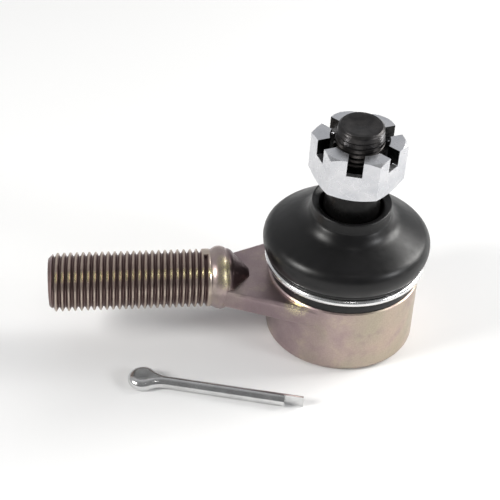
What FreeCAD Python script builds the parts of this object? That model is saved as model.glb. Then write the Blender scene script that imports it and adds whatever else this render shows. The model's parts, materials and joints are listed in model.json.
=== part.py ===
import FreeCAD, Part
import math
import os

from FreeCAD import Placement, Rotation, Vector
from Sketcher import Constraint

# Outer tie rod end with a male shank, in millimetres.
# Frame: +Z runs up out of the socket, -X runs out along the threaded shank, and
# the origin is the centre of the socket's bottom face, on the ground plane.
# The stud, its nut and the boot's collar are drawn upright and then tipped.

SIZES = {
    # How far a cutting tool passes the solid it cuts.
    "cut_margin": 1.0,
    # Threaded shank, M14 x 1.5 left-hand; shank_* lengths are measured along -X.
    "shank_height": 15.8,
    "shank_radius": 7.0,
    "shank_pitch": 1.5,
    "shank_thread_depth": 0.92,
    "shank_end": 71.0,
    "shank_end_chamfer": 1.3,
    "shank_thread_start": 32.9,
    "shank_thread_runout": 0.3,
    "neck_radius": 6.85,
    "collar_radius": 7.65,
    "collar_outer_end": 32.3,
    "collar_crest": 30.3,
    "collar_inner_end": 28.6,
    "collar_round": 3.0,
    "throat_radius": 6.95,
    "nose_shoulder": 28.2,
    "nose_shoulder_low": 26.8,
    "nose_shoulder_drop": 1.2,
    "nose_round": 2.6,
    "nose_foot": 23.2,
    "nose_foot_radius": 2.0,
    "nose_tip": 22.9,
    # Flat arm between the neck and the socket.
    "arm_bottom": 12.0,
    "arm_thickness": 5.0,
    "arm_neck_reach": 29.6,
    "arm_neck_half_width": 7.2,
    "arm_socket_reach": 8.2,
    "arm_socket_half_width": 16.3,
    "arm_edge_round": 0.9,
    # Socket.
    "socket_radius": 18.2,
    "socket_bottom_round": 1.6,
    "socket_shoulder": 17.7,
    "socket_shoulder_chamfer": 0.3,
    "spigot_radius": 15.2,
    "spigot_top": 22.4,
    "bead_groove_radius": 14.5,
    "bead_groove_low": 19.9,
    "bead_groove_high": 21.3,
    "bore_radius": 13.05,
    "bore_top": 16.4,
    "seat_top_radius": 10.2,
    "seat_top": 19.7,
    "mouth_low_radius": 9.0,
    "mouth_top_radius": 10.1,
    "cap_bore_radius": 15.3,
    "cap_shelf": 4.0,
    "lip_radius": 13.6,
    "lip_height": 1.2,
    # Closure under the ball.
    "cap_radius": 15.2,
    "cap_thickness": 2.0,
    "cap_dish_radius": 5.5,
    "cap_dish_depth": 0.6,
    "cap_dish_slope": 1.2,
    "seal_inner_radius": 14.1,
    "spring_outer_radius": 12.4,
    "spring_inner_radius": 5.6,
    "spring_thickness": 0.9,
    "spring_rise": 0.95,
    "pressure_ring_inner_radius": 5.0,
    "pressure_ring_outer_radius": 12.8,
    "pressure_ring_thickness": 0.95,
    # Ball seats.
    "seat_radius": 13.0,
    "seat_sphere_radius": 9.54,
    "lower_seat_hole_radius": 4.6,
    "lower_seat_top": 15.5,
    "upper_seat_bottom": 16.1,
    "upper_seat_step": 16.35,
    "upper_seat_cone_radius": 10.15,
    "upper_seat_top": 19.6,
    "upper_seat_mouth": 8.0,
    # Ball stud: ball, neck, 1:8 taper and M12 x 1.25 thread, tipped towards -Y.
    "stud_lean": 5.0,
    "ball_centre": 15.8,
    "ball_radius": 9.5,
    "stud_neck_radius": 5.9,
    "stud_neck_top": 31.0,
    "taper_large_radius": 6.75,
    "taper_start": 35.0,
    "taper_small_radius": 6.1,
    "taper_end": 45.4,
    "stud_thread_radius": 6.0,
    "stud_thread_start": 46.1,
    "stud_pitch": 1.25,
    "stud_thread_depth": 0.77,
    "stud_lead_start": 53.0,
    "stud_lead_radius": 5.25,
    "stud_top": 60.6,
    "stud_tip_radius": 4.75,
    "stud_tip_chamfer": 0.5,
    "stud_dish_radius": 3.9,
    "stud_dish_depth": 0.5,
    "cross_hole_radius": 1.6,
    "cross_hole_height": 55.2,
    # Slotted nut for the stud, 19 mm across flats.
    "nut_flats": 19.0,
    "nut_height": 10.8,
    "nut_seat": 46.3,
    "nut_bore_radius": 6.06,
    "nut_face_radius": 9.2,
    "nut_crown_radius": 10.0,
    "nut_slot_width": 3.5,
    "nut_slot_depth": 4.0,
    "nut_countersink_radius": 6.7,
    "nut_crown_bore_radius": 6.75,
    "nut_crown_bore_depth": 3.5,
    "nut_turn": -15.0,
    # Split pin 3.2 x 32, lying on the ground beside the shank.
    "pin_wire_radius": 1.42,
    "pin_half_gap": 0.06,
    "pin_eye_radius": 2.1,
    "pin_bend_radius": 8.0,
    "pin_short_leg": 33.8,
    "pin_long_leg": 38.1,
    "pin_x": -49.5,
    "pin_y": -19.35,
    "pin_turn": -15.7,
    # Rubber boot: skirt on the socket, bellows, collar on the stud, wire clip.
    "skirt_radius": 17.9,
    "skirt_flange_top": 20.4,
    "clip_groove_radius": 17.65,
    "clip_groove_top": 22.6,
    "clip_groove_low_slope": 0.3,
    "clip_groove_high_slope": 0.3,
    "skirt_top": 22.9,
    "bead_radius": 14.6,
    "bead_low": 20.1,
    "bead_high": 21.1,
    "bead_slope": 0.2,
    "clip_radius": 18.5,
    "clip_wire_radius": 0.85,
    "clip_height": 21.45,
    "bellows_foot_radius": 19.0,
    "bellows_low_radius": 19.8,
    "bellows_low_height": 24.7,
    "bellows_belly_radius": 20.05,
    "bellows_belly_height": 26.8,
    "bellows_bulge_radius": 19.55,
    "bellows_bulge_height": 28.4,
    "bellows_brow_radius": 18.4,
    "bellows_brow_height": 29.8,
    "bellows_slope_radius": 14.4,
    "bellows_slope_height": 32.6,
    "bellows_top_radius": 10.2,
    "bellows_top": 35.4,
    "bellows_wall": 1.6,
    "boot_collar_radius": 9.4,
    "boot_collar_top": 39.0,
    "boot_collar_foot": 36.3,
    "boot_collar_chamfer": 0.3,
    "boot_lip_outer_radius": 8.15,
    "boot_lip_inner_radius": 6.85,
    "boot_lip_top": 36.4,
    "boot_throat_radius": 7.4,
    "boot_mouth_radius": 7.65,
    "boot_mouth_height": 38.2,
    "boot_mouth_round": 0.3,
    "boot_lip_floor": 34.8,
}

# Rings that the bellows passes through: name, radius, height, share of the lean.
BELLOWS_RINGS = (
    ("foot", "bellows_foot_radius", "skirt_top", 0.0),
    ("low", "bellows_low_radius", "bellows_low_height", 0.0),
    ("belly", "bellows_belly_radius", "bellows_belly_height", 0.0),
    ("bulge", "bellows_bulge_radius", "bellows_bulge_height", 0.0),
    ("brow", "bellows_brow_radius", "bellows_brow_height", 0.05),
    ("slope", "bellows_slope_radius", "bellows_slope_height", 0.45),
    ("top", "bellows_top_radius", "bellows_top", 1.0),
)

NUT_SIDES = 6
NUT_SLOT_TURNS = (30, 90, 150)    # degrees; each slot runs right across the nut

THREAD_FLANK = 0.45       # half width of a thread groove at the crest, in pitches
THREAD_ROOT = 0.07        # half width of a thread groove at its root, in pitches
THREAD_OVERCUT = 0.15     # how far the cutter stands outside the crest
SMALLEST_CUT = 50.0       # least volume that any checked cut takes away
HEIGHT_SLACK = 0.01       # largest height difference within one level edge


def amount(text):
    """Number that a sum of sheet names and plain numbers comes to."""
    total = 0.0
    sign = 1.0
    for word in text.split():
        if word == "+":
            sign = 1.0
        elif word == "-":
            sign = -1.0
        else:
            total += sign * (SIZES[word] if word in SIZES else float(word))
    return total


def bound(text):
    """The same sum as an expression that reads the sheet."""
    words = ["dimensions." + word if word in SIZES else word for word in text.split()]
    return " ".join(words)


def make_sheet(doc):
    """Put every driving dimension in a named cell."""
    sheet = doc.addObject("Spreadsheet::Sheet", "dimensions")
    for row, (name, value) in enumerate(SIZES.items(), start=1):
        sheet.set("A%d" % row, name)
        sheet.set("B%d" % row, str(value))
        sheet.setAlias("B%d" % row, name)
    doc.recompute()


def new_body(doc, label):
    body = doc.addObject("PartDesign::Body", label)
    body.Label = label
    return body


def origin_feature(body, role):
    for feature in body.Origin.OriginFeatures:
        if feature.Role == role:
            return feature
    raise ValueError(role)


def new_sketch(body, label, role, raised=None, flipped=False):
    """Sketch on one of the body's origin planes, lifted along its own Y or Z."""
    sketch = body.newObject("Sketcher::SketchObject", label)
    sketch.AttachmentSupport = [(origin_feature(body, role), "")]
    sketch.MapMode = "FlatFace"
    if flipped:
        sketch.AttachmentOffset = Placement(Vector(0, 0, 0), Rotation(Vector(0, 1, 0), 180))
    if raised:
        axis = "z" if role == "XY_Plane" else "y"
        sketch.setExpression("AttachmentOffset.Base." + axis, bound(raised))
    return sketch


def arc_centre(start, end, radius, turn):
    """Centre of the short arc from start to end; turn is +1 left and -1 right."""
    chord = end.sub(start)
    middle = (start + end) * 0.5
    left = Vector(-chord.y, chord.x, 0).normalize()
    height = math.sqrt(max(radius ** 2 - (chord.Length / 2) ** 2, 0.0))
    return middle + left * (turn * height)


def draw(sketch, corners):
    """Closed outline through corners, every corner tied to the sheet.

    A corner is (x, y) at the end of a straight line, or (x, y, radius, turn)
    at the end of an arc, all as sums of sheet names.
    """
    places = [Vector(amount(corner[0]), amount(corner[1]), 0) for corner in corners]
    ends = []
    for index, corner in enumerate(corners):
        start = places[index - 1]
        end = places[index]
        if len(corner) == 2:
            ends.append((sketch.addGeometry(Part.LineSegment(start, end)), 1, 2))
            continue
        radius = amount(corner[2])
        centre = arc_centre(start, end, radius, corner[3])
        first, last = (start, end) if corner[3] > 0 else (end, start)
        angles = [math.atan2(p.y - centre.y, p.x - centre.x) for p in (first, last)]
        circle = Part.Circle(centre, Vector(0, 0, 1), radius)
        arc = sketch.addGeometry(Part.ArcOfCircle(circle, angles[0], angles[1]))
        ends.append((arc, 1, 2) if corner[3] > 0 else (arc, 2, 1))
        tie(sketch, "Radius", (arc,), corner[2])
    for index, corner in enumerate(corners):
        edge, _, head = ends[index]
        after, tail, _ = ends[(index + 1) % len(ends)]
        join(sketch, edge, head, after, tail)
        tie(sketch, "DistanceX", (-1, 1, edge, head), corner[0])
        tie(sketch, "DistanceY", (-1, 1, edge, head), corner[1])
    return sketch


def join(sketch, edge, head, after, tail):
    sketch.addConstraint(Constraint("Coincident", edge, head, after, tail))


def tie(sketch, kind, where, text):
    index = sketch.addConstraint(Constraint(kind, *where, amount(text)))
    sketch.setExpression("Constraints[%d]" % index, bound(text))


def revolve(body, sketch, kind, axis="V_Axis"):
    """Revolution or Groove of a sketch, a full turn about one of its own axes."""
    feature = body.newObject("PartDesign::" + kind, sketch.Label + "_turned")
    feature.Profile = sketch
    feature.ReferenceAxis = (sketch, [axis])
    feature.Angle = 360
    return feature


def turned_body(doc, label, corners):
    """Body whose outline of (radius, height) corners is turned about Z."""
    body = new_body(doc, label)
    revolve(body, draw(new_sketch(body, label + "_outline", "XZ_Plane"), corners), "Revolution")
    return body


def round_edges(body, base, radius, wanted):
    """Fillet the edges of a feature that the test picks out."""
    names = ["Edge%d" % (i + 1) for i, edge in enumerate(base.Shape.Edges) if wanted(edge)]
    fillet = body.newObject("PartDesign::Fillet", base.Label + "_rounded")
    fillet.Base = (base, names)
    fillet.setExpression("Radius", bound(radius))
    return fillet


def tip(piece, height, share=1.0, turn="0"):
    """Raise and turn a piece, then lean it by a share of the stud's lean about the ball."""
    piece.setExpression("Placement", (
        "create(<<placement>>; create(<<vector>>; 0; 0; 0);"
        " create(<<rotation>>; create(<<vector>>; 1; 0; 0); %s * dimensions.stud_lean);"
        " create(<<vector>>; 0; 0; dimensions.ball_centre)) *"
        " create(<<placement>>; create(<<vector>>; 0; 0; %s);"
        " create(<<rotation>>; create(<<vector>>; 0; 0; 1); %s))")
        % (share, bound(height), bound(turn)))


def require_cut(doc, body, before):
    """Stop if the body's last feature took away less than SMALLEST_CUT."""
    doc.recompute()
    if body.Shape.Volume > before - SMALLEST_CUT:
        raise RuntimeError(body.Label + " was not cut")


def cut_thread(body, label, raised, flipped, crest, depth, pitch, start, end, left_handed):
    """Cut a helical thread groove; the outline runs along the turning axis."""
    along_shank = flipped
    sketch = new_sketch(body, label + "_groove", "XZ_Plane", raised=raised, flipped=flipped)
    pitch_size = amount(pitch)
    outer = amount(crest) + THREAD_OVERCUT
    root = amount(crest) - amount(depth)
    middle = amount(start) + pitch_size / 2
    corners = [(middle - THREAD_FLANK * pitch_size, outer),
               (middle + THREAD_FLANK * pitch_size, outer),
               (middle + THREAD_ROOT * pitch_size, root),
               (middle - THREAD_ROOT * pitch_size, root)]
    if not along_shank:
        corners = [(radius, height) for height, radius in corners]
    places = [Vector(x, y, 0) for x, y in corners]
    for index, place in enumerate(places):
        sketch.addGeometry(Part.LineSegment(places[index - 1], place))
    helix = body.newObject("PartDesign::SubtractiveHelix", label)
    helix.Profile = sketch
    helix.ReferenceAxis = (sketch, ["H_Axis" if along_shank else "V_Axis"])
    helix.Mode = 0
    helix.setExpression("Pitch", bound(pitch))
    helix.setExpression("Height", bound(end + " - " + start))
    helix.LeftHanded = left_handed
    return helix


def make_housing(doc):
    """Forged socket, arm and threaded shank in one piece."""
    body = new_body(doc, "housing")

    plan = new_sketch(body, "arm_plan", "XY_Plane", raised="arm_bottom")
    draw(plan, [("- arm_neck_reach", "- arm_neck_half_width"),
                ("- arm_socket_reach", "- arm_socket_half_width"),
                ("- arm_socket_reach", "arm_socket_half_width"),
                ("- arm_neck_reach", "arm_neck_half_width")])
    arm = body.newObject("PartDesign::Pad", "arm")
    arm.Profile = plan
    arm.setExpression("Length", bound("arm_thickness"))
    doc.recompute()

    def along_wall(edge):
        length = amount("arm_neck_reach - arm_socket_reach")
        return edge.BoundBox.ZLength < HEIGHT_SLACK and edge.BoundBox.XLength > length - HEIGHT_SLACK

    round_edges(body, arm, "arm_edge_round", along_wall)

    socket = draw(new_sketch(body, "socket_outline", "XZ_Plane"), [
        ("0", "0"),
        ("socket_radius", "0"),
        ("socket_radius", "socket_shoulder - socket_shoulder_chamfer"),
        ("socket_radius - socket_shoulder_chamfer", "socket_shoulder"),
        ("spigot_radius", "socket_shoulder"),
        ("spigot_radius", "bead_groove_low"),
        ("bead_groove_radius", "bead_groove_low"),
        ("bead_groove_radius", "bead_groove_high"),
        ("spigot_radius", "bead_groove_high"),
        ("spigot_radius", "spigot_top"),
        ("0", "spigot_top")])
    barrel = revolve(body, socket, "Revolution")
    doc.recompute()

    def bottom_rim(edge):
        return edge.BoundBox.ZMax < HEIGHT_SLACK and edge.BoundBox.XLength > amount("socket_radius")

    round_edges(body, barrel, "socket_bottom_round", bottom_rim)

    shank = new_sketch(body, "shank_outline", "XZ_Plane", raised="shank_height", flipped=True)
    draw(shank, [
        ("nose_tip", "0"),
        ("shank_end", "0"),
        ("shank_end", "shank_radius - shank_end_chamfer"),
        ("shank_end - shank_end_chamfer", "shank_radius"),
        ("shank_thread_start", "shank_radius"),
        ("shank_thread_start - shank_thread_runout", "neck_radius"),
        ("collar_outer_end", "neck_radius"),
        ("collar_crest", "collar_radius", "collar_round", 1),
        ("collar_inner_end", "throat_radius", "collar_round", 1),
        ("nose_shoulder", "throat_radius"),
        ("nose_shoulder_low", "throat_radius - nose_shoulder_drop", "nose_round", 1),
        ("nose_foot", "nose_foot_radius")])
    revolve(body, shank, "Revolution", "H_Axis")
    doc.recompute()

    before = body.Shape.Volume
    bore = draw(new_sketch(body, "bore_outline", "XZ_Plane"), [
        ("0", "- cut_margin"),
        ("lip_radius", "- cut_margin"),
        ("lip_radius", "lip_height"),
        ("cap_bore_radius", "lip_height"),
        ("cap_bore_radius", "cap_shelf"),
        ("bore_radius", "cap_shelf"),
        ("bore_radius", "bore_top"),
        ("seat_top_radius", "seat_top"),
        ("mouth_low_radius", "seat_top"),
        ("mouth_top_radius", "spigot_top"),
        ("mouth_top_radius", "spigot_top + cut_margin"),
        ("0", "spigot_top + cut_margin")])
    revolve(body, bore, "Groove")
    require_cut(doc, body, before)

    cut_thread(body, "shank_thread", "shank_height", True, "shank_radius", "shank_thread_depth",
               "shank_pitch", "shank_thread_start", "shank_end + shank_pitch", True)
    return body


def make_end_cap(doc):
    """Pressed steel plate crimped into the socket's bottom."""
    top = "lip_height + cap_thickness"
    return turned_body(doc, "end_cap", [
        ("0", "lip_height + cap_dish_depth"),
        ("cap_dish_radius", "lip_height + cap_dish_depth"),
        ("cap_dish_radius + cap_dish_slope", "lip_height"),
        ("cap_radius", "lip_height"),
        ("cap_radius", top),
        ("0", top)])


def make_ring(doc, label, inner, outer, low, thickness):
    """Flat ring: an outer cylinder less an inner one."""
    solid = doc.addObject("Part::Cylinder", label + "_disc")
    hole = doc.addObject("Part::Cylinder", label + "_hole")
    solid.setExpression("Radius", bound(outer))
    solid.setExpression("Height", bound(thickness))
    solid.setExpression("Placement.Base.z", bound(low))
    hole.setExpression("Radius", bound(inner))
    hole.setExpression("Height", bound(thickness + " + cut_margin + cut_margin"))
    hole.setExpression("Placement.Base.z", bound(low + " - cut_margin"))
    ring = doc.addObject("Part::Cut", label)
    ring.Base = solid
    ring.Tool = hole
    ring.Label = label
    return ring


def make_disc_spring(doc):
    """Coned disc spring that presses the seats onto the ball."""
    floor = "lip_height + cap_thickness"
    return turned_body(doc, "disc_spring", [
        ("spring_outer_radius", floor),
        ("spring_outer_radius", floor + " + spring_thickness"),
        ("spring_inner_radius", floor + " + spring_rise + spring_thickness"),
        ("spring_inner_radius", floor + " + spring_rise")])


def hollow_for_ball(doc, body):
    """Cut the ball's spherical seat out of a body."""
    before = body.Shape.Volume
    sphere = body.newObject("PartDesign::SubtractiveSphere", body.Label + "_sphere")
    sphere.setExpression("Radius", bound("seat_sphere_radius"))
    sphere.setExpression("Placement.Base.z", bound("ball_centre"))
    require_cut(doc, body, before)


def make_lower_seat(doc):
    """Plastic cup under the ball."""
    bottom = "lip_height + cap_thickness + spring_rise + spring_thickness + pressure_ring_thickness"
    body = turned_body(doc, "lower_ball_seat", [
        ("lower_seat_hole_radius", bottom),
        ("seat_radius", bottom),
        ("seat_radius", "lower_seat_top"),
        ("lower_seat_hole_radius", "lower_seat_top")])
    doc.recompute()
    hollow_for_ball(doc, body)
    return body


def make_upper_seat(doc):
    """Plastic ring above the ball's middle, backed by the socket's cone."""
    body = turned_body(doc, "upper_ball_seat", [
        ("upper_seat_mouth", "upper_seat_bottom"),
        ("seat_radius", "upper_seat_bottom"),
        ("seat_radius", "upper_seat_step"),
        ("upper_seat_cone_radius", "upper_seat_top"),
        ("upper_seat_mouth", "upper_seat_top")])
    doc.recompute()
    hollow_for_ball(doc, body)
    return body


def make_ball_stud(doc):
    """Ball, neck, taper and threaded end with the split pin's cross hole."""
    body = new_body(doc, "ball_stud")
    ball = body.newObject("PartDesign::AdditiveSphere", "ball")
    ball.setExpression("Radius", bound("ball_radius"))
    ball.setExpression("Placement.Base.z", bound("ball_centre"))
    outline = draw(new_sketch(body, "stud_outline", "XZ_Plane"), [
        ("0", "ball_centre"),
        ("stud_neck_radius", "ball_centre"),
        ("stud_neck_radius", "stud_neck_top"),
        ("taper_large_radius", "taper_start"),
        ("taper_small_radius", "taper_end"),
        ("stud_thread_radius", "stud_thread_start"),
        ("stud_thread_radius", "stud_lead_start"),
        ("stud_lead_radius", "stud_top - stud_tip_chamfer"),
        ("stud_tip_radius", "stud_top"),
        ("stud_dish_radius", "stud_top"),
        ("0", "stud_top - stud_dish_depth")])
    revolve(body, outline, "Revolution")
    doc.recompute()
    cut_thread(body, "stud_thread", None, False, "stud_thread_radius", "stud_thread_depth",
               "stud_pitch", "stud_thread_start", "stud_top + stud_pitch", False)
    doc.recompute()
    before = body.Shape.Volume
    circle = new_sketch(body, "cross_hole_outline", "YZ_Plane")
    centre = Vector(0, amount("cross_hole_height"), 0)
    circle.addGeometry(Part.Circle(centre, Vector(0, 0, 1), amount("cross_hole_radius")))
    circle.addConstraint(Constraint("PointOnObject", 0, 3, -2))
    tie(circle, "DistanceY", (-1, 1, 0, 3), "cross_hole_height")
    tie(circle, "Radius", (0,), "cross_hole_radius")
    hole = body.newObject("PartDesign::Pocket", "cross_hole")
    hole.Profile = circle
    hole.Type = "ThroughAll"
    hole.Midplane = True
    require_cut(doc, body, before)
    tip(body, "0")
    return body


def make_castle_nut(doc):
    """Slotted hexagon nut: a prism trimmed by two cones, bored and slotted."""
    prism = doc.addObject("Part::Prism", "nut_hexagon")
    prism.Polygon = NUT_SIDES
    prism.setExpression("Circumradius", bound("nut_flats") + " / sqrt(3)")
    prism.setExpression("Height", bound("nut_height"))

    below = doc.addObject("Part::Cone", "nut_lower_chamfer")
    below.setExpression("Radius1", bound("nut_face_radius"))
    below.setExpression("Radius2", "dimensions.nut_face_radius + dimensions.nut_height * sqrt(3)")
    below.setExpression("Height", bound("nut_height"))
    above = doc.addObject("Part::Cone", "nut_upper_chamfer")
    above.setExpression("Radius1", "dimensions.nut_crown_radius + dimensions.nut_height * sqrt(3)")
    above.setExpression("Radius2", bound("nut_crown_radius"))
    above.setExpression("Height", bound("nut_height"))

    trimmed = doc.addObject("Part::MultiCommon", "nut_blank")
    trimmed.Shapes = [prism, below, above]

    bore = doc.addObject("Part::Cylinder", "nut_bore")
    bore.setExpression("Radius", bound("nut_bore_radius"))
    bore.setExpression("Height", bound("nut_height + cut_margin + cut_margin"))
    bore.setExpression("Placement.Base.z", bound("- cut_margin"))
    mouth = doc.addObject("Part::Cone", "nut_countersink")
    mouth.setExpression("Radius1", bound("nut_countersink_radius"))
    mouth.setExpression("Radius2", bound("nut_bore_radius"))
    mouth.setExpression("Height", bound("nut_countersink_radius - nut_bore_radius"))
    crown = doc.addObject("Part::Cylinder", "nut_crown_bore")
    crown.setExpression("Radius", bound("nut_crown_bore_radius"))
    crown.setExpression("Height", bound("nut_crown_bore_depth + cut_margin"))
    crown.setExpression("Placement.Base.z", bound("nut_height - nut_crown_bore_depth"))
    tools = [bore, mouth, crown]
    for turn in NUT_SLOT_TURNS:
        slot = doc.addObject("Part::Box", "nut_slot_%d" % turn)
        slot.setExpression("Length", "2 * dimensions.nut_flats")
        slot.setExpression("Width", bound("nut_slot_width"))
        slot.setExpression("Height", bound("nut_slot_depth + cut_margin"))
        slot.Placement = Placement(Vector(0, 0, 0), Rotation(Vector(0, 0, 1), turn))
        along = "dimensions.nut_flats * %s(%d deg)"
        aside = "dimensions.nut_slot_width / 2 * %s(%d deg)"
        slot.setExpression("Placement.Base.x", aside % ("sin", turn) + " - " + along % ("cos", turn))
        slot.setExpression("Placement.Base.y",
                           "-(" + along % ("sin", turn) + " + " + aside % ("cos", turn) + ")")
        slot.setExpression("Placement.Base.z", bound("nut_height - nut_slot_depth"))
        tools.append(slot)

    cutters = doc.addObject("Part::MultiFuse", "nut_cutters")
    cutters.Shapes = tools
    nut = doc.addObject("Part::Cut", "castle_nut")
    nut.Base = trimmed
    nut.Tool = cutters
    nut.Label = "castle_nut"
    tip(nut, "nut_seat", turn="nut_turn")
    return nut


def make_cotter_pin(doc):
    """Half-round wire folded into an eye with a short and a long leg."""
    gap = amount("pin_half_gap")
    eye = amount("pin_eye_radius")
    bend = amount("pin_bend_radius")
    neck = math.sqrt((bend + eye) ** 2 - (bend + gap) ** 2)
    bend_centre = Vector(neck, bend + gap, 0)
    touch = bend_centre * (eye / (bend + eye))
    inward = (touch - bend_centre).normalize() + Vector(0, -1, 0)
    halfway = bend_centre + inward.normalize() * bend

    def below(point):
        return Vector(point.x, -point.y, 0)

    short_end = Vector(amount("pin_short_leg"), -gap, 0)
    long_end = Vector(amount("pin_long_leg"), gap, 0)
    knee = Vector(neck, gap, 0)
    path = Part.Wire([
        Part.LineSegment(short_end, below(knee)).toShape(),
        Part.Arc(below(knee), below(halfway), below(touch)).toShape(),
        Part.Arc(below(touch), Vector(-eye, 0, 0), touch).toShape(),
        Part.Arc(touch, halfway, knee).toShape(),
        Part.LineSegment(knee, long_end).toShape()])

    radius = amount("pin_wire_radius")
    top = short_end + Vector(0, 0, radius)
    outer = short_end + Vector(0, -radius, 0)
    bottom = short_end + Vector(0, 0, -radius)
    section = Part.Wire([Part.Arc(top, outer, bottom).toShape(),
                         Part.LineSegment(bottom, top).toShape()])
    pin = doc.addObject("Part::Feature", "cotter_pin")
    pin.Label = "cotter_pin"
    pin.Shape = path.makePipeShell([section], True, False)
    pin.Placement = Placement(Vector(amount("pin_x"), amount("pin_y"), radius),
                              Rotation(Vector(0, 0, 1), amount("pin_turn")))
    return pin


def make_boot_skirt(doc):
    """Foot of the rubber boot, clipped round the socket's spigot."""
    return turned_body(doc, "boot_skirt", [
        ("spigot_radius", "socket_shoulder"),
        ("skirt_radius", "socket_shoulder"),
        ("skirt_radius", "skirt_flange_top"),
        ("clip_groove_radius", "skirt_flange_top + clip_groove_low_slope"),
        ("clip_groove_radius", "clip_groove_top - clip_groove_high_slope"),
        ("bellows_foot_radius", "skirt_top"),
        ("spigot_radius", "skirt_top"),
        ("spigot_radius", "bead_high + bead_slope"),
        ("bead_radius", "bead_high"),
        ("bead_radius", "bead_low"),
        ("spigot_radius", "bead_low - bead_slope")])


def stack_rings(doc, label, inset):
    """Smooth solid through the bellows' rings, each drawn in from its radius by inset."""
    rings = []
    for name, radius, height, share in BELLOWS_RINGS:
        ring = doc.addObject("Part::Circle", "%s_%s" % (label, name))
        ring.setExpression("Radius", bound(radius + inset))
        tip(ring, height, share)
        rings.append(ring)
    loft = doc.addObject("Part::Loft", label)
    loft.Sections = rings
    loft.Solid = True
    return loft


def make_boot_bellows(doc):
    """Bulging middle of the rubber boot, level at its foot and tipped at its top."""
    bellows = doc.addObject("Part::Cut", "boot_bellows")
    bellows.Label = "boot_bellows"
    bellows.Base = stack_rings(doc, "bellows_outside", "")
    bellows.Tool = stack_rings(doc, "bellows_inside", " - bellows_wall")
    return bellows


def make_boot_collar(doc):
    """Top of the rubber boot: a rim that slopes in to a lip round the stud."""
    collar = turned_body(doc, "boot_collar", [
        ("boot_lip_inner_radius", "boot_lip_floor"),
        ("boot_lip_outer_radius", "bellows_top"),
        ("bellows_top_radius", "bellows_top"),
        ("boot_collar_radius", "boot_collar_foot"),
        ("boot_collar_radius", "boot_collar_top - boot_collar_chamfer"),
        ("boot_collar_radius - boot_collar_chamfer", "boot_collar_top"),
        ("boot_mouth_radius", "boot_mouth_height"),
        ("boot_throat_radius", "boot_mouth_height - boot_mouth_round"),
        ("boot_lip_inner_radius", "boot_lip_top")])
    tip(collar, "0")
    return collar


def make_boot_clip(doc):
    """Wire ring that holds the skirt on the socket."""
    ring = doc.addObject("Part::Torus", "boot_clip_ring")
    ring.Label = "boot_clip_ring"
    ring.setExpression("Radius1", bound("clip_radius"))
    ring.setExpression("Radius2", bound("clip_wire_radius"))
    ring.setExpression("Placement.Base.z", bound("clip_height"))
    return ring


def check(doc, pieces):
    """Stop if a feature failed or a piece is not one valid solid."""
    for item in doc.Objects:
        if "Invalid" in item.State or "Error" in item.State:
            raise RuntimeError("%s failed: %s" % (item.Label, item.State))
    for piece in pieces:
        if piece.Shape.isNull() or not piece.Shape.isValid() or len(piece.Shape.Solids) != 1:
            raise RuntimeError(piece.Label + " is not one valid solid")


def main():
    doc = FreeCAD.newDocument("tie_rod_end")
    make_sheet(doc)
    pieces = [
        make_housing(doc),
        make_end_cap(doc),
        make_ring(doc, "end_cap_seal", "seal_inner_radius", "cap_radius",
                  "lip_height + cap_thickness", "cap_shelf - lip_height - cap_thickness"),
        make_disc_spring(doc),
        make_ring(doc, "pressure_ring", "pressure_ring_inner_radius", "pressure_ring_outer_radius",
                  "lip_height + cap_thickness + spring_rise + spring_thickness",
                  "pressure_ring_thickness"),
        make_lower_seat(doc),
        make_upper_seat(doc),
        make_ball_stud(doc),
        make_castle_nut(doc),
        make_cotter_pin(doc),
        make_boot_skirt(doc),
        make_boot_bellows(doc),
        make_boot_collar(doc),
        make_boot_clip(doc),
    ]
    doc.recompute()
    check(doc, pieces)
    os.makedirs("parts", exist_ok=True)
    for piece in pieces:
        print("%-16s %9.1f mm3" % (piece.Label, piece.Shape.Volume))
        piece.Shape.exportStep("parts/%s.step" % piece.Label)


main()
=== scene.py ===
"""Tie rod end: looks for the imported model, in metres, in the model's own frame."""
import json
import math

import bmesh
import bpy
from mathutils import Matrix, Vector


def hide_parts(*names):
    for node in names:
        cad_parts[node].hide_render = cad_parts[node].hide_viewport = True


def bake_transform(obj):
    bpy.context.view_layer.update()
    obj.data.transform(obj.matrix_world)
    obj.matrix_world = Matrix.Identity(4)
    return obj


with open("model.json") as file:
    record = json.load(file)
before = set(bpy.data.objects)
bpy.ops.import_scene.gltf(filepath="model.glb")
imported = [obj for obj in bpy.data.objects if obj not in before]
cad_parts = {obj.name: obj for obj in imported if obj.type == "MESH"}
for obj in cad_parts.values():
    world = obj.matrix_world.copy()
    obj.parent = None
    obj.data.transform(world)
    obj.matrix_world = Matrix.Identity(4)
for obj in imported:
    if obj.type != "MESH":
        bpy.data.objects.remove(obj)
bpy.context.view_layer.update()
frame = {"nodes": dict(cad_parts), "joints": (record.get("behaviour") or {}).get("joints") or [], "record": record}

MM = 0.001
RECORD = frame["record"]
JOINTS = {joint["name"]: joint for joint in frame["joints"]}
MOUNTS = {mount["name"]: mount for mount in RECORD["mounts"]}

# ---------------------------------------------------------------- places read from the frame
BALL_CENTRE = Vector(JOINTS["stud_swing_side"]["pos_m"])
STUD_AXIS = Vector(JOINTS["stud_spin"]["axis"])
STUD_LEAN = math.atan2(-STUD_AXIS.y, STUD_AXIS.z)
NUT_SEAT = (Vector(JOINTS["nut_turn"]["pos_m"]) - BALL_CENTRE).length + BALL_CENTRE.z
SHANK_END = Vector(MOUNTS["shank_thread"]["pos_m"])
SHANK_RADIUS = MOUNTS["shank_thread"]["dims"]["r_mm"] * MM
SHANK_THREAD = MOUNTS["shank_thread"]["dims"]["length_mm"] * MM
STUD_THREAD_RADIUS = MOUNTS["stud_thread"]["dims"]["r_mm"] * MM

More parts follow.
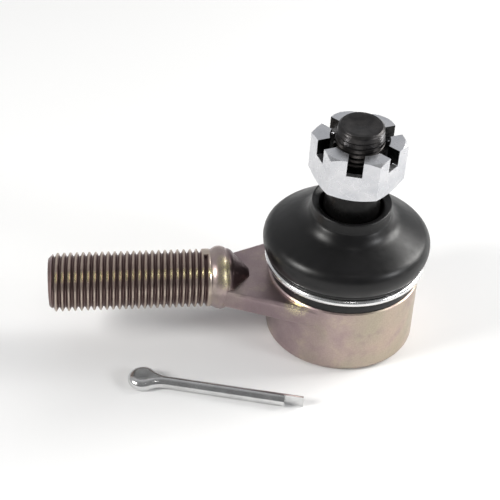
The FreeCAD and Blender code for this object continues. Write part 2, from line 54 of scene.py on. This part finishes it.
# Nut and stud features, with the stud stood upright: heights, radii and a half width.
SLOT_FLOOR = NUT_SEAT + 6.8 * MM
SLOT_HALF_WIDTH = 1.75 * MM
SLOT_TURNS = (15, 75, 135)
NUT_BORE = 6.85 * MM
SLOT_LIP = 8.3 * MM
STUD_THREAD_START = 46.1 * MM
STUD_TIP_FLOOR = 60.0 * MM

# How far below the shank's radius its thread's root and crest are coloured.
ROOT_DEPTH = 0.85 * MM
CREST_DEPTH = 0.1 * MM

# Radians per metre of radius of the turned rings on the stud's tip, about 0.45 mm apart.
RING_RATE = 14000.0

# Masks tied to places on the forging. Each pair is where a colour is absent, then full.
# The direction is the side of the shank that has the painted gold highlight on the throat and the thread's painted
# glints.
GLINT_FACING = (0, -0.68, 0.73)

# Places along X: the throat beside the thread, its end with a painted gold highlight, and the nose's foot with
# painted shade.
THROAT_STARTS = (-33.0 * MM, -32.0 * MM)
THROAT_ENDS = (-27.6 * MM, -28.6 * MM)
GLINT_STARTS = (-31.5 * MM, -29.5 * MM)
NOSE_STARTS = (-28.6 * MM, -28.0 * MM)
NOSE_ENDS = (-22.4 * MM, -23.4 * MM)

# Height above which painted shade darkens the nose's foot.
NOSE_FLOOR = (17.0 * MM, 17.6 * MM)

# Where the arm's top meets the socket's shoulder, and distances from there over which a gold highlight is painted.
ARM_CORNER = (-13.0 * MM, -13.5 * MM, 17.5 * MM)
GLINT_REACH = (3.4 * MM, 1.2 * MM)

# ---------------------------------------------------------------- material building blocks
class Finish:
    """A Principled material under construction, with short calls for its nodes."""

    def __init__(self, name, metallic, roughness, **constants):
        self.material = bpy.data.materials.new(name)
        self.material.use_nodes = True
        self.tree = self.material.node_tree
        self.shader = self.tree.nodes["Principled BSDF"]
        self.shader.inputs["Metallic"].default_value = metallic
        self.shader.inputs["Roughness"].default_value = roughness
        for socket, value in constants.items():
            self.shader.inputs[socket.replace("_", " ")].default_value = value
        self.place = self.node("ShaderNodeTexCoord").outputs["Object"]

    def node(self, kind, inputs=None, **settings):
        node = self.tree.nodes.new(kind)
        for key, value in settings.items():
            setattr(node, key, value)
        for key, value in (inputs or {}).items():
            self.feed(node.inputs[key], value)
        return node

    def feed(self, socket, value):
        if isinstance(value, bpy.types.NodeSocket):
            self.tree.links.new(value, socket)
        else:
            socket.default_value = value

    def noise(self, scale, detail=4.0, roughness=0.5, distortion=0.0, vector=None):
        node = self.node("ShaderNodeTexNoise", {
            "Vector": vector or self.place, "Scale": scale, "Detail": detail,
            "Roughness": roughness, "Distortion": distortion})
        return node.outputs["Fac"]

    def vector(self, operation, a, b, output="Vector"):
        node = self.node("ShaderNodeVectorMath", {0: a, 1: b}, operation=operation)
        return node.outputs[output]

    def upright(self):
        """Place of a surface point with the stud's lean taken out."""
        offset = self.vector("SUBTRACT", self.place, tuple(BALL_CENTRE))
        turned = self.node("ShaderNodeMapping", {
            "Vector": offset, "Location": tuple(BALL_CENTRE), "Rotation": (-STUD_LEAN, 0, 0)})
        return turned.outputs[0]

    def part(self, vector, axis):
        return self.node("ShaderNodeSeparateXYZ", {0: vector}).outputs[axis]

    def radius(self, vector, keep):
        """Length of a vector with only its kept parts."""
        flat = self.vector("MULTIPLY", vector, keep)
        return self.vector("LENGTH", flat, (0, 0, 0), "Value")

    def math(self, operation, a, b=0.0):
        return self.node("ShaderNodeMath", {0: a, 1: b}, operation=operation).outputs[0]

    def remap(self, value, low, high, to_low=0.0, to_high=1.0):
        node = self.node("ShaderNodeMapRange", {
            "Value": value, "From Min": low, "From Max": high,
            "To Min": to_low, "To Max": to_high})
        return node.outputs["Result"]

    def mix(self, factor, a, b):
        node = self.node("ShaderNodeMix", data_type="RGBA")
        self.feed(node.inputs[0], factor)
        self.feed(node.inputs[6], a)
        self.feed(node.inputs[7], b)
        return node.outputs[2]

    def ramp(self, factor, stops):
        node = self.node("ShaderNodeValToRGB", {"Fac": factor})
        elements = node.color_ramp.elements
        while len(elements) < len(stops):
            elements.new(0.5)
        for element, (position, colour) in zip(elements, stops):
            element.position = position
            element.color = colour
        return node.outputs["Color"]

    def bump(self, height, distance, strength=1.0, normal=None):
        node = self.node("ShaderNodeBump", {
            "Height": height, "Distance": distance, "Strength": strength})
        if normal is not None:
            self.feed(node.inputs["Normal"], normal)
        return node.outputs["Normal"]

    def finish(self, colour, roughness=None, normal=None):
        self.feed(self.shader.inputs["Base Color"], colour)
        if roughness is not None:
            self.feed(self.shader.inputs["Roughness"], roughness)
        if normal is not None:
            self.feed(self.shader.inputs["Normal"], normal)
        return self.material


def rgb(red, green, blue):
    return (red, green, blue, 1.0)


def grey(value):
    return (value, value, value, 1.0)


# ---------------------------------------------------------------- materials
def plated_forging():
    """Zinc plating with a mauve, beige and yellow passivation tint over a forged skin, darker towards the shank
    partly as painted shade, with painted gold highlights, and painted shade on the nose's foot.
    """
    f = Finish("plated_forging", metallic=0.9, roughness=0.36)
    broad = f.noise(55.0, 3.0, 0.55, distortion=0.8)
    blotch = f.noise(240.0, 4.0, 0.6)
    fleck = f.noise(3200.0, 4.0, 0.65)
    grain = f.noise(2600.0, 3.0, 0.6)
    along = f.part(f.place, "X")
    # Darker mauve towards the shank, lighter beige beyond the socket: partly the plating's tint, partly painted
    # shade.
    side = f.remap(along, -16 * MM, 12 * MM)
    mauve = f.ramp(broad, [(0.32, rgb(0.33, 0.25, 0.27)), (0.50, rgb(0.42, 0.33, 0.33)),
                           (0.66, rgb(0.40, 0.34, 0.30))])
    beige = f.ramp(broad, [(0.32, rgb(0.47, 0.36, 0.33)), (0.50, rgb(0.54, 0.43, 0.35)),
                           (0.66, rgb(0.50, 0.44, 0.33))])
    tint = f.mix(side, mauve, beige)
    tint = f.mix(f.remap(blotch, 0.54, 0.72, 0.0, 0.35), tint, rgb(0.62, 0.53, 0.38))
    tint = f.mix(f.remap(blotch, 0.46, 0.30, 0.0, 0.35), tint, rgb(0.30, 0.21, 0.24))
    tint = f.mix(f.remap(grain, 0.35, 0.65, 0.0, 0.20), tint, rgb(0.22, 0.17, 0.16))
    centre = f.vector("SUBTRACT", f.place, tuple(SHANK_END))
    radius = f.radius(centre, (0, 1, 1))
    depth = f.remap(radius, SHANK_RADIUS - ROOT_DEPTH, SHANK_RADIUS - CREST_DEPTH)
    facing = f.vector("DOT_PRODUCT", centre, GLINT_FACING, "Value")
    facing = f.math("DIVIDE", facing, radius)
    # Darker in the thread's roots, lighter on its crests.
    thread = f.ramp(depth, [(0.0, rgb(0.20, 0.14, 0.13)), (0.55, rgb(0.31, 0.23, 0.23)),
                            (0.88, rgb(0.41, 0.33, 0.31)), (1.0, rgb(0.53, 0.45, 0.38))])
    # Painted highlight: a band of gold glints painted on the thread's crests, on one side of the shank.
    glint = f.math("MULTIPLY", f.remap(facing, 0.975, 0.996, 0.0, 0.85),
                   f.remap(depth, 0.70, 0.95))
    thread = f.mix(glint, thread, rgb(0.95, 0.86, 0.48))
    on_thread = f.remap(f.part(centre, "X"), SHANK_THREAD + 0.8 * MM, SHANK_THREAD)
    colour = f.mix(on_thread, tint, thread)
    # Painted highlight: gold flecks on the throat's end, on the shank's upper side towards -Y.
    throat = f.math("MULTIPLY", f.remap(along, *THROAT_STARTS), f.remap(along, *THROAT_ENDS))
    glint_patch = f.math("MULTIPLY", f.remap(facing, 0.80, 0.97), f.remap(along, *GLINT_STARTS))
    painted_glint = f.math("MULTIPLY", throat, f.remap(fleck, 0.40, 0.62, 0.10, 0.90))
    painted_glint = f.math("MULTIPLY", painted_glint, glint_patch)
    colour = f.mix(painted_glint, colour, rgb(0.92, 0.84, 0.44))
    # Painted highlight: gold flecks where the arm's top meets the socket's shoulder.
    corner = f.vector("LENGTH", f.vector("SUBTRACT", f.place, ARM_CORNER), (0, 0, 0), "Value")
    painted_glint = f.math("MULTIPLY", f.remap(corner, *GLINT_REACH),
                  f.remap(fleck, 0.44, 0.58, 0.0, 0.9))
    colour = f.mix(painted_glint, colour, rgb(0.95, 0.87, 0.50))
    # Painted shade: the nose's foot, between the throat and the arm, is painted nearly black.
    nose = f.math("MULTIPLY", f.remap(along, *NOSE_STARTS), f.remap(along, *NOSE_ENDS))
    nose = f.math("MULTIPLY", nose, f.remap(f.part(f.place, "Z"), *NOSE_FLOOR))
    colour = f.mix(f.math("MULTIPLY", nose, 0.85), colour, rgb(0.12, 0.075, 0.085))
    rough = f.remap(f.noise(700.0, 4.0, 0.6), 0.3, 0.7, 0.28, 0.44)
    polished = f.math("MULTIPLY", glint, on_thread)
    rough = f.math("SUBTRACT", rough, f.math("MULTIPLY", polished, 0.14))
    skin = f.bump(f.noise(800.0, 5.0, 0.62), 0.05 * MM, 0.3)
    skin = f.bump(grain, 0.02 * MM, 0.45, skin)
    return f.finish(colour, rough, skin)


def bright_zinc(name, dark, light, rough_low, rough_high, grain):
    """Bright zinc plating, cloudy and finely scratched."""
    f = Finish(name, metallic=0.95, roughness=rough_low)
    colour = f.ramp(f.noise(220.0, 4.0, 0.6), [(0.3, dark), (0.7, light)])
    rough = f.remap(f.noise(900.0, 4.0, 0.6), 0.3, 0.7, rough_low, rough_high)
    return f, colour, rough, f.bump(f.noise(1500.0, 4.0, 0.6), 0.012 * MM, grain)


def nut_zinc():
    """The nut's plating, with painted shade, nearly black, in its slots and bore."""
    f, colour, rough, skin = bright_zinc("nut_zinc", rgb(0.58, 0.59, 0.62), rgb(0.72, 0.72, 0.74),
                                         0.24, 0.36, 0.4)
    place = f.upright()
    radius = f.radius(place, (1, 1, 0))
    height = f.part(place, "Z")
    across = []
    for turn in SLOT_TURNS:
        angle = math.radians(turn)
        aside = f.vector("DOT_PRODUCT", place, (-math.sin(angle), math.cos(angle), 0), "Value")
        across.append(f.math("ABSOLUTE", aside))
    nearest = f.math("MINIMUM", f.math("MINIMUM", across[0], across[1]), across[2])
    in_slot = f.math("LESS_THAN", nearest, SLOT_HALF_WIDTH + 0.03 * MM)
    in_slot = f.math("MULTIPLY", in_slot, f.math("GREATER_THAN", height, SLOT_FLOOR - 0.02 * MM))
    on_floor = f.math("LESS_THAN", height, SLOT_FLOOR + 0.05 * MM)
    on_lip = f.math("MULTIPLY", on_floor, f.math("GREATER_THAN", radius, SLOT_LIP))
    in_slot = f.math("SUBTRACT", in_slot, on_lip)
    in_bore = f.math("LESS_THAN", radius, NUT_BORE)
    # Painted shade: the slots, except the outer part of their floors, and the bore are painted nearly black.
    black = f.math("MAXIMUM", in_slot, in_bore)
    painted_slot_shade = f.ramp(f.noise(900.0), [(0.3, grey(0.010)), (0.7, grey(0.030))])
    colour = f.mix(black, colour, painted_slot_shade)
    return f.finish(colour, rough, skin)


def clip_zinc():
    return Finish.finish(*bright_zinc("clip_zinc", grey(0.78), grey(0.88), 0.16, 0.24, 0.05))


def pin_zinc():
    return Finish.finish(*bright_zinc("pin_zinc", grey(0.60), grey(0.78), 0.16, 0.26, 0.4))


def dark_steel():
    """Black oxide on the stud, turned on its tip, thinner on the thread's crests, and darker below the thread as
    painted shade.
    """
    f = Finish("dark_steel", metallic=0.8, roughness=0.34)
    place = f.upright()
    radius = f.radius(place, (1, 1, 0))
    height = f.part(place, "Z")
    cloud = f.noise(500.0, 4.0, 0.6)
    colour = f.ramp(cloud, [(0.3, rgb(0.024, 0.023, 0.024)), (0.7, rgb(0.058, 0.054, 0.053))])
    crest = f.remap(radius, STUD_THREAD_RADIUS - 0.5 * MM, STUD_THREAD_RADIUS - 0.1 * MM)
    above = f.remap(height, STUD_THREAD_START, STUD_THREAD_START + 0.5 * MM)
    worn = f.math("MULTIPLY", f.math("MULTIPLY", crest, above), 0.8)
    colour = f.mix(worn, colour, rgb(0.20, 0.18, 0.17))
    # Painted shade: the stud is darker below its thread's start.
    below = f.remap(height, STUD_THREAD_START, STUD_THREAD_START - 0.5 * MM, 0.0, 0.7)
    colour = f.mix(below, colour, grey(0.008))
    rings = f.math("SINE", f.math("MULTIPLY", radius, RING_RATE))
    on_tip = f.math("GREATER_THAN", height, STUD_TIP_FLOOR)
    turned = f.math("MULTIPLY", on_tip, f.math("MULTIPLY", rings, 0.5))
    rough = f.remap(f.noise(1200.0, 3.0, 0.6), 0.3, 0.7, 0.26, 0.42)
    skin = f.bump(f.noise(1600.0, 4.0, 0.6), 0.03 * MM, 0.5)
    return f.finish(colour, rough, f.bump(turned, 0.02 * MM, 0.8, skin))


def rubber():
    """Moulded chloroprene: nearly black with a soft satin gloss."""
    f = Finish("rubber", metallic=0.0, roughness=0.40, Specular_IOR_Level=0.35)
    cloud = f.noise(140.0, 4.0, 0.6)
    colour = f.ramp(cloud, [(0.3, grey(0.004)), (0.7, rgb(0.008, 0.0077, 0.0083))])
    rough = f.remap(f.noise(500.0, 4.0, 0.65), 0.3, 0.7, 0.30, 0.41)
    skin = f.bump(f.noise(3000.0, 3.0, 0.6), 0.008 * MM, 0.35)
    return f.finish(colour, rough, skin)


def spring_steel():
    f = Finish("spring_steel", metallic=0.95, roughness=0.33)
    colour = f.ramp(f.noise(300.0), [(0.35, rgb(0.16, 0.17, 0.21)), (0.65, rgb(0.28, 0.27, 0.27))])
    return f.finish(colour, f.remap(f.noise(900.0), 0.3, 0.7, 0.26, 0.42))


def acetal():
    f = Finish("acetal", metallic=0.0, roughness=0.42)
    colour = f.ramp(f.noise(500.0), [(0.3, rgb(0.78, 0.75, 0.66)), (0.7, rgb(0.86, 0.84, 0.77))])
    return f.finish(colour, f.remap(f.noise(1500.0), 0.3, 0.7, 0.36, 0.5))


def set_material(node, material):
    data = frame["nodes"][node].data
    data.materials.clear()
    data.materials.append(material)
    for polygon in data.polygons:
        polygon.material_index = 0


# ---------------------------------------------------------------- stage
def add(name, data):
    thing = bpy.data.objects.new(name, data)
    bpy.context.scene.collection.objects.link(thing)
    return thing


def make_floor():
    mesh = bpy.data.meshes.new("floor")
    half = 3.0
    corners = [(-half, -half, 0), (half, -half, 0), (half, half, 0), (-half, half, 0)]
    mesh.from_pydata(corners, [], [(0, 1, 2, 3)])
    f = Finish("floor", metallic=0.0, roughness=0.6, Specular_IOR_Level=0.2)
    shade = f.ramp(f.noise(2.0), [(0.3, grey(0.93)), (0.7, grey(0.95))])
    mesh.materials.append(f.finish(shade))
    add("floor", mesh)


def softbox(name, direction, size, power, colour):
    """Square area light aimed at the object from a direction."""
    data = bpy.data.lights.new(name, "AREA")
    data.shape = "SQUARE"
    data.size = size
    data.energy = power
    data.color = colour
    light = add(name, data)
    back = Vector(direction).normalized()
    light.location = LIGHT_AIM + back * LIGHT_DISTANCE
    light.rotation_mode = "QUATERNION"
    light.rotation_quaternion = back.to_track_quat("Z", "Y")


LIGHT_AIM = Vector((-0.015, 0.0, 0.02))
LIGHT_DISTANCE = 0.70
WARM = (1.0, 0.99, 0.965)
COOL = (0.97, 0.98, 1.0)
WORLD_FRONT = 0.166
WORLD_BACK = 0.58
WORLD_FACING = (0.0, 0.95, 0.1)
WORLD_FADE = (-0.1, 0.7)


def make_light():
    world = bpy.data.worlds.new("studio")
    world.use_nodes = True
    tree = world.node_tree
    place = tree.nodes.new("ShaderNodeTexCoord")
    facing = tree.nodes.new("ShaderNodeVectorMath")
    facing.operation = "DOT_PRODUCT"
    facing.inputs[1].default_value = WORLD_FACING
    level = tree.nodes.new("ShaderNodeMapRange")
    level.inputs["From Min"].default_value = WORLD_FADE[0]
    level.inputs["From Max"].default_value = WORLD_FADE[1]
    level.inputs["To Min"].default_value = WORLD_FRONT
    level.inputs["To Max"].default_value = WORLD_BACK
    background = tree.nodes["Background"]
    background.inputs["Color"].default_value = COOL + (1.0,)
    tree.links.new(place.outputs["Generated"], facing.inputs[0])
    tree.links.new(facing.outputs["Value"], level.inputs["Value"])
    tree.links.new(level.outputs["Result"], background.inputs["Strength"])
    bpy.context.scene.world = world
    softbox("left_softbox", (-0.80, -0.25, 0.50), 0.20, 3.05, WARM)
    softbox("right_softbox", (0.80, 0.18, 0.46), 0.34, 4.5, WARM)
    softbox("glint_softbox", (0.10, -0.54, 0.83), 0.05, 0.10, WARM)
    softbox("front_softbox", (0.75, -0.45, 0.40), 0.16, 1.3, COOL)


def make_camera():
    """Camera ahead of the shank's side, looking down on the socket."""
    elevation = math.radians(36.87)
    azimuth = math.radians(-7.49)
    roll = math.radians(2.81)
    aim = Vector((-21.74, 0.0, 23.78)) * MM
    distance = 297.0 * MM
    back = Vector((math.sin(azimuth) * math.cos(elevation),
                   -math.cos(azimuth) * math.cos(elevation), math.sin(elevation)))
    right = (-back).cross(Vector((0, 0, 1))).normalized()
    up = back.cross(right)
    across = right * math.cos(roll) + up * math.sin(roll)
    upward = up * math.cos(roll) - right * math.sin(roll)
    data = bpy.data.cameras.new("camera")
    data.sensor_width = 36.0
    data.lens = 89.5
    data.shift_x = -0.0114
    data.shift_y = -0.0008
    data.clip_start = 0.01
    camera = add("camera", data)
    turn = Matrix((across, upward, back)).transposed().to_4x4()
    camera.matrix_world = Matrix.Translation(aim + back * distance) @ turn
    bpy.context.scene.camera = camera


# ---------------------------------------------------------------- boot
LEAN_FROM = 28.9
LEAN_FULL = 35.4
SEAM = (17.9, 30.1)
SEAM_NORMAL = (0.5, 0.866)
SEAM_INSIDE = (17.0, 29.0)
LOWER_BEND = (22.9, 29.9)
UPPER_BEND = (30.3, 35.2)
SEGMENTS = 192


def curve(points, steps=8):
    """Points along a chain of cubic curves: anchor, handle, handle, anchor, ..."""
    found = [points[0]]
    for start in range(0, len(points) - 3, 3):
        anchors = points[start:start + 4]
        for step in range(1, steps + 1):
            t = step / steps
            u = 1 - t
            weights = (u ** 3, 3 * u * u * t, 3 * u * t * t, t ** 3)
            found.append(tuple(sum(w * p[k] for w, p in zip(weights, anchors)) for k in (0, 1)))
    return found


def lean_share(height):
    """How much of the stud's lean the boot takes at a height, in millimetres."""
    t = min(max((height - LEAN_FROM) / (LEAN_FULL - LEAN_FROM), 0.0), 1.0)
    return t * t * (3 - 2 * t)


def leaned(radius, height, angle):
    """Place of an outline point turned to an angle, and the lean that it takes."""
    place = Vector((radius * math.cos(angle), radius * math.sin(angle), height)) * MM
    lean = Matrix.Rotation(STUD_LEAN * lean_share(height), 3, "X")
    return BALL_CENTRE + lean @ (place - BALL_CENTRE), lean


def lathe(name, outline, material):
    """Closed outline of (radius, height) in millimetres turned about Z and leaned."""
    mesh = bmesh.new()
    rings = []
    for index in range(SEGMENTS):
        angle = 2 * math.pi * index / SEGMENTS
        ring = []
        for radius, height in outline:
            ring.append(mesh.verts.new(leaned(radius, height, angle)[0]))
        rings.append(ring)
    count = len(outline)
    for near, far in zip(rings, rings[1:] + rings[:1]):
        for k in range(count):
            mesh.faces.new((near[k], far[k], far[(k + 1) % count], near[(k + 1) % count]))
    bmesh.ops.recalc_face_normals(mesh, faces=mesh.faces)
    data = bpy.data.meshes.new(name)
    mesh.to_mesh(data)
    mesh.free()
    for polygon in data.polygons:
        polygon.use_smooth = True
    match_seam(data, outline)
    data.materials.append(material)
    return add(name, data)


def match_seam(data, outline):
    """Give both boot pieces the same normals along the ring where they meet."""
    normals = [vertex.normal.copy() for vertex in data.vertices]
    outward, upward = SEAM_NORMAL
    for index in range(SEGMENTS):
        angle = 2 * math.pi * index / SEGMENTS
        lean = leaned(*SEAM, angle)[1]
        normal = Vector((outward * math.cos(angle), outward * math.sin(angle), upward))
        normals[index * len(outline) + outline.index(SEAM)] = (lean @ normal).normalized()
    data.normals_split_custom_set_from_vertices(normals)


def make_boot(material):
    """One rubber moulding in two pieces: foot with belly, and slope with collar."""
    foot = [(15.22, 17.72), (17.6, 17.72), (17.84, 17.8), (17.9, 18.0), (17.9, 20.1), (17.8, 20.34),
            (17.55, 20.5), (17.4, 20.75), (17.4, 22.2), (17.6, 22.4), (18.2, 22.5),
            (18.85, 22.62), (19.0, 22.75), (19.06, 22.95), (19.04, 23.2), (19.1, 23.4)]
    belly = curve([(19.1, 23.4), (19.5, 24.0), (19.85, 24.9), (19.98, 26.0),
                   (20.06, 27.0), (19.98, 27.7), (19.6, 28.4),
                   (19.22, 29.1), (18.7, 29.65), SEAM])
    inside = curve([SEAM_INSIDE, (18.2, 28.0), (18.5, 25.8), (17.3, 23.4)])
    lower = lathe("boot_lower", foot + belly + inside + [(15.22, 23.0)], material)

    slope = curve([SEAM, (16.0, 31.2), (14.4, 32.1), (12.4, 33.1),
                   (11.5, 33.6), (10.5, 34.5), (9.95, 35.5)])
    rim = [(9.65, 35.95), (9.45, 36.2), (9.4, 36.5), (9.4, 38.6), (9.34, 38.86), (9.18, 39.0),
           (9.0, 38.98), (8.8, 38.86), (7.8, 38.3), (7.6, 38.15), (7.42, 37.9), (6.96, 36.6),
           (6.86, 36.3), (6.86, 35.9), (8.0, 35.6)]
    underside = curve([(8.0, 35.6), (9.2, 34.2), (11.4, 32.7), (13.6, 31.5),
                       (15.2, 30.6), (16.3, 30.0), SEAM_INSIDE])
    upper = lathe("boot_upper", slope + rim + underside[1:], material)

    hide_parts("boot_skirt", "boot_bellows")
    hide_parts("boot_bellows", "boot_collar")
    for piece, low_body, high_body, bend in ((lower, "socket", "boot_middle", LOWER_BEND),
                                             (upper, "boot_middle", "boot_top", UPPER_BEND)):
        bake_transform(piece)


def main():
    make_camera()
    make_floor()
    make_light()
    bpy.context.scene.view_settings.view_transform = "Standard"
    finishes = {
        "plated_forging": plated_forging(),
        "dark_steel": dark_steel(),
        "rubber": rubber(),
        "spring_steel": spring_steel(),
        "acetal": acetal(),
    }
    own = {"castle_nut": nut_zinc(), "cotter_pin": pin_zinc(), "boot_clip_ring": clip_zinc()}
    for part in RECORD["subparts"]:
        node = part["node"]
        set_material(node, own[node] if node in own else finishes[part["material_slot"]])
    make_boot(finishes["rubber"])


main()
